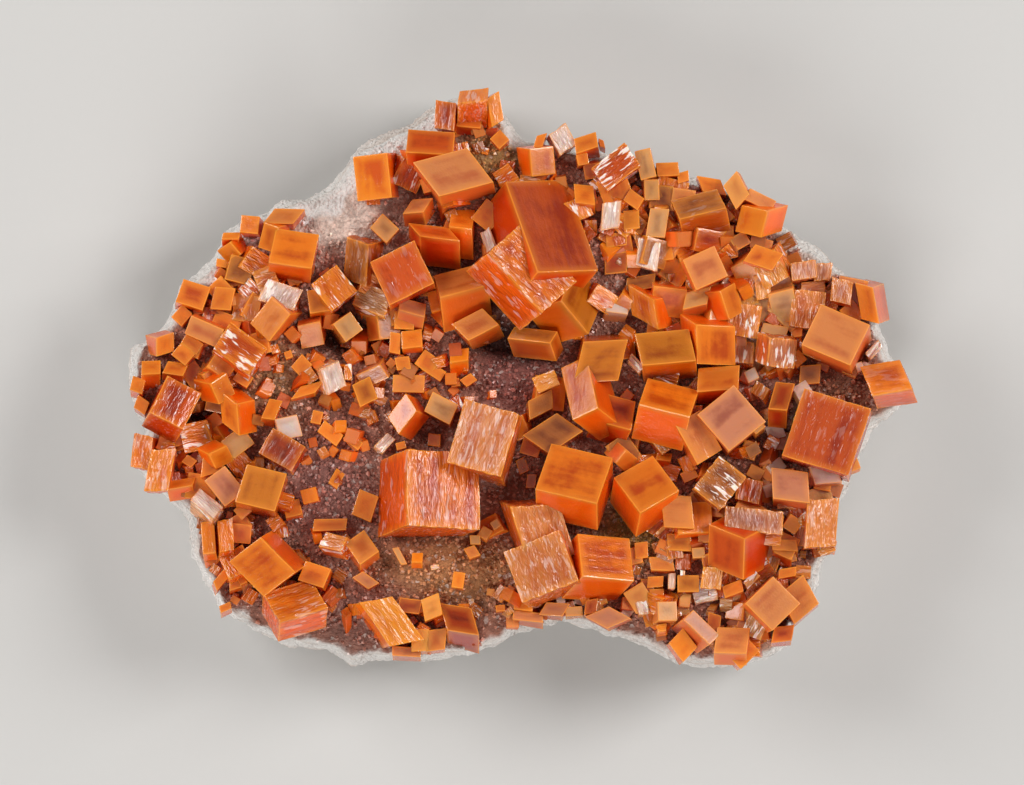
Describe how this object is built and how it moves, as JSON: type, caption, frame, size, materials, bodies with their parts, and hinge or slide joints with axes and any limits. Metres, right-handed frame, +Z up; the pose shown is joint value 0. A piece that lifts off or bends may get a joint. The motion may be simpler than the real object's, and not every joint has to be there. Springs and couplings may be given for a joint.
{
  "type": "wulfenite specimen on limestone",
  "caption": "Mineral specimen: blocky orange wulfenite crystals grown on a flat-lying plate of limestone covered with brown druse.",
  "frame": {"origin": "centre of the specimen's box, on the flat underside that it lies on", "axes": "+Z up out of the crystal face, +X along the plate's length, towards the right end as seen from above, +Y across it, towards the pointed tip"},
  "size_m": [0.0991, 0.0728, 0.0248],
  "materials": {
    "wulfenite": "resinous to adamantine gloss, partly translucent",
    "limestone": "rough, with sparkling brown and mauve druse on top"
  },
  "bodies": {
    "root": {"banded_block": "wulfenite", "banded_corner_block": "wulfenite", "big_peach_square": "wulfenite", "big_ridged_block": "wulfenite", "brown_back_block": "wulfenite", "brown_face_block": "wulfenite", "centre_foot": "wulfenite", "centre_tall": "wulfenite", "centre_top_right": "wulfenite", "corner_cube": "wulfenite", "corner_peach_square": "wulfenite", "dark_orange_block": "wulfenite", "fluted_orange_left": "wulfenite", "fluted_peach_a": "wulfenite", "fluted_peach_b": "wulfenite", "front_banded_block": "wulfenite", "glint_edge_block": "wulfenite", "lavender_plate": "wulfenite", "left_block": "wulfenite", "left_glitter_big": "wulfenite", "left_slant_block": "wulfenite", "limestone_matrix": "limestone", "lower_left_pair_b": "wulfenite", "lower_mauve_block": "wulfenite", "mauve_front_block": "wulfenite", "milky_top_block": "wulfenite", "notch_cube": "wulfenite", "ochre_back": "wulfenite", "ochre_tall": "wulfenite", "pink_fluted_block": "wulfenite", "pink_mauve_slab": "wulfenite", "pink_peach_block": "wulfenite", "red_glitter_block": "wulfenite", "right_column": "wulfenite", "right_edge_block": "wulfenite", "rough_square_right": "wulfenite", "shoulder_block": "wulfenite", "silver_plate_left": "wulfenite", "silver_striated": "wulfenite", "silver_striped_small": "wulfenite", "tan_pink_pair": "wulfenite", "tan_square_low": "wulfenite", "tip_block": "wulfenite", "two_tone_block": "wulfenite", "upper_edge_block": "wulfenite", "upper_front_block": "wulfenite", "upper_left_front": "wulfenite", "upper_orange_block": "wulfenite", "wedge_block": "wulfenite", "yellow_block": "wulfenite"}
  },
  "joints": []
}
